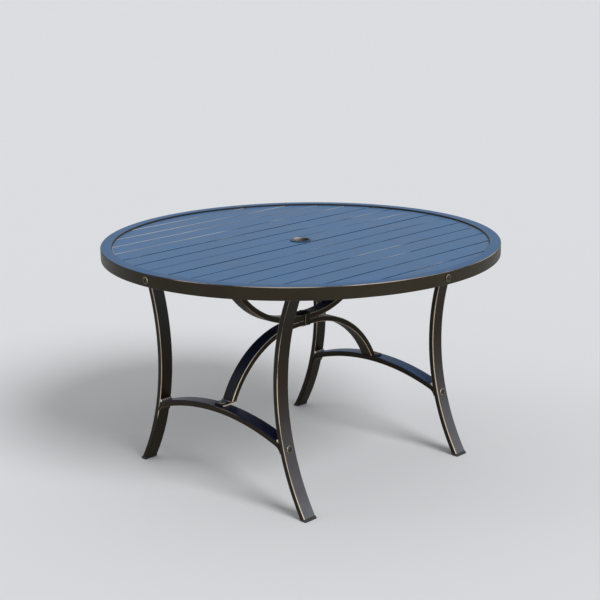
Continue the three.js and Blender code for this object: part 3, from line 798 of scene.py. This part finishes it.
def arch_outline(inset):
    """The stretcher seen from the front, drawn in from its outline by inset: its top and underside,
    from the right leg to the left, with equally many points."""
    low_level = flare_foot.y + inset
    foot_x = flare_centre.x + math.sqrt((flare + inset) ** 2 - (low_level - flare_centre.y) ** 2)
    foot_x = min(foot_x, leg_face(low_level) - clearance)
    onset = math.atan2(low_level - flare_centre.y, foot_x - flare_centre.x)
    crest = math.atan2(flare_centre.y - arch_centre.y, flare_centre.x)
    under = [(leg_face(low_level), low_level)]
    for step in range(flare_steps + 1):
        angle = onset + (crest - onset) * step / flare_steps
        under.append((flare_centre.x + (flare + inset) * math.cos(angle),
                      flare_centre.y + (flare + inset) * math.sin(angle)))
    joint = len(under) - 1
    for step in range(1, arch_steps + 1):
        angle = crest + (math.pi / 2 - crest) * step / arch_steps
        radius = arch_bend - half_tube + inset
        under.append((radius * math.cos(angle), arch_centre_z + radius * math.sin(angle)))
    # The level where the top of the arch meets the leg's bent face is closed in on step by step.
    top_radius = arch_bend + half_tube - inset
    level = waist_height / 2
    for _ in range(20):
        level = arch_centre_z + math.sqrt(top_radius ** 2 - leg_face(level) ** 2)
    end_x = leg_face(level)
    over = []
    for k, (x, _) in enumerate(under):
        across = end_x + (under[joint][0] - end_x) * k / joint if k < joint else x
        over.append((across, arch_centre_z + math.sqrt(top_radius ** 2 - across ** 2)))
    return [line + [(-x, z) for x, z in reversed(line[:-1])] for line in (over, under)]


# The outline is drawn in layers from one broad side to the other, smaller where the edges are round.
layers = [(tube_width / 2, tube_corner + rub_band, 0)]
for step in range(arc_steps + 1):
    angle = math.pi / 2 * (1 - step / arc_steps)
    layers.append((tube_width / 2 - tube_corner * (1 - math.sin(angle)), tube_corner * (1 - math.cos(angle)),
                   corner_rub(step)))
layers.append((tube_width / 2 - tube_corner - rub_band, 0, 0))
layers += [(-side, inset, rub_and_painted_light) for side, inset, rub_and_painted_light in reversed(layers)]
arch_rings = []
for side, inset, rub_and_painted_light in layers:
    over, under = arch_outline(inset)
    arch_rings.append([(x, side, z, rub_and_painted_light * arch_rub) for x, z in over + under[::-1]])

# The frame's powder coat once more. The back stretcher's top carries a strong painted blue sky
# reflection, nearly as blue as the slats.
sky_tinted_arch_coat = antique_coat("sky_tinted_arch_powder_coat", sky_reflection_tone="#345a8c", bronze="#bda88f",
                             worn_from=1.22, fade_from=0.1, **shaded_frame_paint)
for row, coat in (("back", sky_tinted_arch_coat), ("front", frame_coat)):
    build(f"arch_{row}", [moved(loft(arch_rings, "strip"), stand(row, "right"))], coat, "frame_coat",
          f"stretcher_{row}")

# A lumpy weld closes the corner between each end of the stretcher and its leg. Its crests are painted
# pale, nearly white: a painted highlight of light falling on them. Where it faces up it is paler too, a
# painted sky reflection.
end_bead_size = 5 * mm
end_bead_place = 2.5 * mm
end_bead_half = 22
end_bead_highlight = 1.4
end_bead_ripple = 8 * mm
weld_highlight_coat = antique_coat("highlighted_weld_powder_coat", coat="#241c10", cloudy="#3a3022", sky_reflection_tone="#8f8a86",
                         bronze="#ece4dc", coat_roughness=0.4, gloss=0.2, worn_from=1.2,
                         patch_size=5 * mm, fade_from=0.3)


def each_mm(first, last):
    """Every whole millimetre from first to last, in metres."""
    return [step * mm for step in range(first, last + 1)]


end_x, end_level = arch_outline(0)[0][0]
end_beads = []
for sign in (-1, 1):
    line = [(sign * (end_x - end_bead_place), y, end_level + end_bead_place)
            for y in each_mm(-end_bead_half, end_bead_half)]
    end_beads.append(weld(line, end_bead_size, False, end_bead_highlight, end_bead_ripple))
for row in ("back", "front"):
    build(f"arch_weld_{row}", [moved(bead, stand(row, "right")) for bead in end_beads], weld_highlight_coat,
          "frame_coat")

# Arms
# Four pieces of the flat tube, each with one bend: two rise from the pole sleeve to the cross rails
# and two come down to the stretchers. Their ends are cut to the sleeve's round and welded to it, and
# a round-cornered pad at each far end takes the bolt.
joint_level = 457 * mm
arm_straight = 30 * mm
arm_steps = 36
cope_step = 4 * mm
pad_thickness = 5 * mm
pad_inner = 13 * mm
pad_outer = 43 * mm
pad_corner = 6 * mm
sleeve_bead_size = 2.1 * mm
sleeve_bead_gap = 0.4 * mm
pad_bead_size = 2 * mm
pad_bead_gap = 0.8 * mm
seam_size = 1.5 * mm
seam_inset = 1 * mm
seam_rise = 0.2 * mm
seam_start = 12
seam_end = 55
sleeve_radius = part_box("pole_sleeve")[1].x


def divided(section, step):
    """The same outline with more points on its flats, no further apart than step."""
    points = []
    for (x, y, rub_and_painted_light), (next_x, next_y, next_rub) in zip(section, section[1:] + section[:1]):
        pieces = max(1, math.ceil(math.hypot(next_x - x, next_y - y) / step))
        points += [(x + (next_x - x) * k / pieces, y + (next_y - y) * k / pieces,
                    rub_and_painted_light + (next_rub - rub_and_painted_light) * k / pieces) for k in range(pieces)]
    return points


arm_section = divided(tube_section(tube_width, tube_thickness, tube_corner), cope_step)


def bent_arm(pad_level, foot, pad_wear=1):
    """An arm that leaves the sleeve along +Y and rises to its pad; heights are above the joint. Two
    seams of weld run along it from the sleeve, where it lies against the arm below or above."""
    start = half_tube + clearance / 2
    run = foot - arm_straight
    rise = pad_level - start
    bend = (run ** 2 + rise ** 2) / (rise * 2)
    centre = start + bend
    ends = [(across, bend + out, math.acos((centre - pad_level) / (bend + out)), rub_and_painted_light)
            for across, out, rub_and_painted_light in arm_section]
    rings = [[(across, math.sqrt((sleeve_radius + clearance) ** 2 - across ** 2), centre - radius, rub_and_painted_light)
              for across, radius, _, rub_and_painted_light in ends]]
    for step in range(arm_steps + 1):
        rings.append([(across, arm_straight + radius * math.sin(sweep * step / arm_steps),
                       centre - radius * math.cos(sweep * step / arm_steps), rub_and_painted_light)
                      for across, radius, sweep, rub_and_painted_light in ends])
    pad = plate(foot - pad_inner, foot + pad_outer, tube_width, pad_level, pad_level + pad_thickness,
                pad_corner)
    quarter = Matrix.Rotation(math.pi / 2, 4, "Z")
    sleeve_line = [(x, y + sleeve_bead_gap, z) for x, y, z, _ in rings[0]]
    pad_line = [(x, y, pad_level - pad_bead_gap) for x, y, _, _ in rings[-1]]
    beads = [weld(sleeve_line, sleeve_bead_size), weld(pad_line, pad_bead_size)]
    for side in (-1, 1):
        seam_x = side * (tube_width / 2 - seam_inset)
        seam_line = [(seam_x, y, seam_rise) for y in each_mm(seam_start, seam_end)]
        beads.append(weld(seam_line, seam_size, closed=False))
    return [loft(rings), moved(pad, quarter, pad_wear), *beads]


# The lower front arm's bronze lines are painted the palest of the four, and wider: a painted highlight where
# light falls on its edges.
highlighted_arm_coat = antique_coat("highlighted_arm_powder_coat", sky_reflection_tone="#141e37", bronze="#f2dfc8",
                            worn_from=1.1, fade_from=-0.05, **shaded_frame_paint)
upper_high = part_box("upper_arm_back")[1]
lower_low, lower_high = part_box("lower_arm_back")
rising = bent_arm(upper_high.z - pad_thickness - joint_level, upper_high.y - pad_outer)

# For each side: which way it faces, how strong the rising arm's bronze lines are (the front one's dimmed
# as painted shade), and the falling one's coat and how worn its pad is.
for side, turn, wear_and_shade, coat, pad_wear in (("back", 0, 1.05, frame_coat, 0.6),
                                         ("front", math.pi, 0.8, highlighted_arm_coat, 0.7)):
    upright = Matrix.Translation((0, 0, joint_level)) @ Matrix.Rotation(turn, 4, "Z")
    build(f"rising_arm_{side}", [moved(part, upright, wear_and_shade) for part in rising], frame_coat, "frame_coat",
          f"upper_arm_{side}")
    upside_down = upright @ Matrix.Scale(-1, 4, (0, 0, 1))
    falling = bent_arm(joint_level - lower_low.z - pad_thickness, lower_high.y - pad_outer, pad_wear)
    build(f"falling_arm_{side}", [moved(part, upside_down) for part in falling], coat, "frame_coat",
          f"lower_arm_{side}")

# Pole sleeve
# A short length of round steel tube that the four arms are welded to. The umbrella pole stands in it.
# On each side an upright bead runs down it beside the front arms. Their crests, and the sleeve's outer top
# edge, carry a painted highlight: the light line down the sleeve and along its lip.
sleeve_wall = 2.5 * mm
sleeve_edge = 0.7 * mm
sleeve_inner_rub = 0.5
sleeve_outer_rub_and_highlight = 1.4
side_bead_x = 22.6 * mm
side_bead_y = -6.5 * mm
side_bead_half = 16
side_bead_size = 1.5 * mm
side_bead_highlight = 1.8
sleeve_low, sleeve_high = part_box("pole_sleeve")
sleeve_bore = sleeve_radius - sleeve_wall
sleeve_outline = tube_section(sleeve_radius - sleeve_bore, sleeve_high.z - sleeve_low.z, sleeve_edge)
sleeve_section = [((sleeve_bore + sleeve_radius) / 2 + across, (sleeve_low.z + sleeve_high.z) / 2 + up,
                   rub_and_painted_light * (sleeve_inner_rub if across < 0 else sleeve_outer_rub_and_highlight) if up > 0 else 0)
                  for across, up, rub_and_painted_light in sleeve_outline]
side_beads = []
for side in (-1, 1):
    line = [(side * side_bead_x, side_bead_y, joint_level + height)
            for height in each_mm(-side_bead_half, side_bead_half)]
    side_beads.append(weld(line, side_bead_size, False, side_bead_highlight))
build("sleeve_tube", [around(sleeve_section, ring_steps), *side_beads], frame_coat, "frame_coat",
      "pole_sleeve")

# Pole bush
# A flanged liner of the same black polyethylene, pushed down into the sleeve. It takes up the play
# round the pole, so that it doesn't rattle.
bush_bore = 20 * mm
bush_flange_thickness = 2 * mm
bush_edge = 0.6 * mm
bush_low, bush_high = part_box("pole_bush")
bush_section = flanged(bush_bore, sleeve_bore - clearance, bush_high.x, bush_low.z,
                       bush_high.z - bush_flange_thickness, bush_high.z, bush_edge)
build("bush_liner", [around(bush_section, ring_steps)], polyethylene, "black_plastic", "pole_bush")

# Bolts
# Steel bolts with a low domed head, 21 mm across, and a hexagon socket. They go through the rim, the
# legs and the arms' pads, and up through the leg plates into the cross rails.
head_radius = 10.5 * mm
head_height = 4.5 * mm
head_edge = 1.2 * mm
socket_flats = 6 * mm
socket_rim = socket_flats * 0.62
socket_depth = 1.6 * mm
soft_edge = 0.3 * mm
bolt_steps = 48

# Powder coat in the frame's colour, a little glossier: the rim of each head is rubbed to a pale ring, and
# where it faces up it is painted grey-blue, a painted sky reflection.
bolt_coat = antique_coat("coated_bolt_steel", coat="#2a241b", cloudy="#352d22", sky_reflection_tone="#5a6a7c",
                         bronze="#c9b8a2", coat_roughness=0.36, gloss=0.25, worn_from=1.2,
                         patch_size=14 * mm)


def bolt_head():
    """The head's outline turned about Z, seated on z = 0, with the socket sunk into the dome."""
    dome = head_height - head_edge
    dome_radius = (head_radius ** 2 + dome ** 2) / (dome * 2)
    turns = [math.tau * step / bolt_steps for step in range(bolt_steps)]
    outline = [(head_radius - soft_edge, 0, 0.4), (head_radius, soft_edge, 0.5),
               (head_radius, head_edge * 0.6, 0.9)]
    # Shares of the head's radius, and how rubbed the dome is there: brightest just inside its edge.
    for share, rub_and_painted_light in ((0.985, 1.0), (0.94, 0.85), (0.89, 0.3), (0.8, 0), (0.7, 0), (0.6, 0)):
        radius = head_radius * share
        outline.append((radius, head_height - dome_radius + math.sqrt(dome_radius ** 2 - radius ** 2), rub_and_painted_light))
    rim_level = head_height - dome_radius + math.sqrt(dome_radius ** 2 - socket_rim ** 2)
    outline.append((socket_rim, rim_level, 0))
    rings = [[(r * math.cos(turn), r * math.sin(turn), z, rub_and_painted_light) for turn in turns] for r, z, rub_and_painted_light in outline]
    for level in (rim_level, rim_level - soft_edge, rim_level - socket_depth):
        ring = []
        for turn in turns:
            r = socket_flats / 2 / math.cos((turn + math.pi / 6) % (math.pi / 3) - math.pi / 6)
            ring.append((r * math.cos(turn), r * math.sin(turn), level, 0))
        rings.append(ring)
    return loft(rings)


def bolt(name, seat, direction, node, wear_and_shade=1.0):
    """A bolt's head on its seat, facing in a direction. The shank is out of sight and left out."""
    turn = Vector((0, 0, 1)).rotation_difference(Vector(direction)).to_matrix().to_4x4()
    head = moved(bolt_head(), Matrix.Translation(seat) @ turn, wear_and_shade)
    build(name, [head], bolt_coat, "bolt_coat", node)


rim_bolt_wear = 0.88
for side, outward in (("right", (1, 0, 0)), ("left", (-1, 0, 0)), ("back", (0, 1, 0)), ("front", (0, -1, 0))):
    low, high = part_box(f"rim_bolt_{side}")
    seat = (low + high) / 2
    reach = (high - low).dot(Vector([abs(share) for share in outward])) / 2 - head_height
    bolt(f"rim_head_{side}", seat + reach * Vector(outward), outward, f"rim_bolt_{side}", rim_bolt_wear)
for side in ("back", "front"):
    for height, up in (("upper", -1), ("lower", 1)):
        low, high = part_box(f"{height}_pad_bolt_{side}")
        seat_level = (high.z if up > 0 else low.z) - up * head_height
        seat = Vector(((low.x + high.x) / 2, (low.y + high.y) / 2, seat_level))
        bolt(f"{height}_pad_head_{side}", seat, (0, 0, up), f"{height}_pad_bolt_{side}")

# The stretcher bolts lean with the leg, 13 mm above the tip of the stretcher's foot.
bolt_rise = 13 * mm
leg_out = leg_bend - half_tube
tilt = math.asin((waist_height - flare_foot.y - bolt_rise) / leg_out)
seat_radius = leg_out - clearance
for row in ("back", "front"):
    for end, sign in (("left", -1), ("right", 1)):
        for edge in ("inner", "outer"):
            low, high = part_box(f"leg_bolt_{row}_{end}_{edge}")
            seat = Vector(((low.x + high.x) / 2, (low.y + high.y) / 2, low.z + head_height))
            bolt(f"plate_head_{row}_{end}_{edge}", seat, (0, 0, -1), f"leg_bolt_{row}_{end}_{edge}")
        seat = (sign * (leg_centre_x - seat_radius * math.cos(tilt)), leg_row if row == "back" else -leg_row,
                waist_height - seat_radius * math.sin(tilt))
        bolt(f"through_head_{row}_{end}", seat, (sign * math.cos(tilt), 0, math.sin(tilt)),
             f"stretcher_bolt_{row}_{end}")
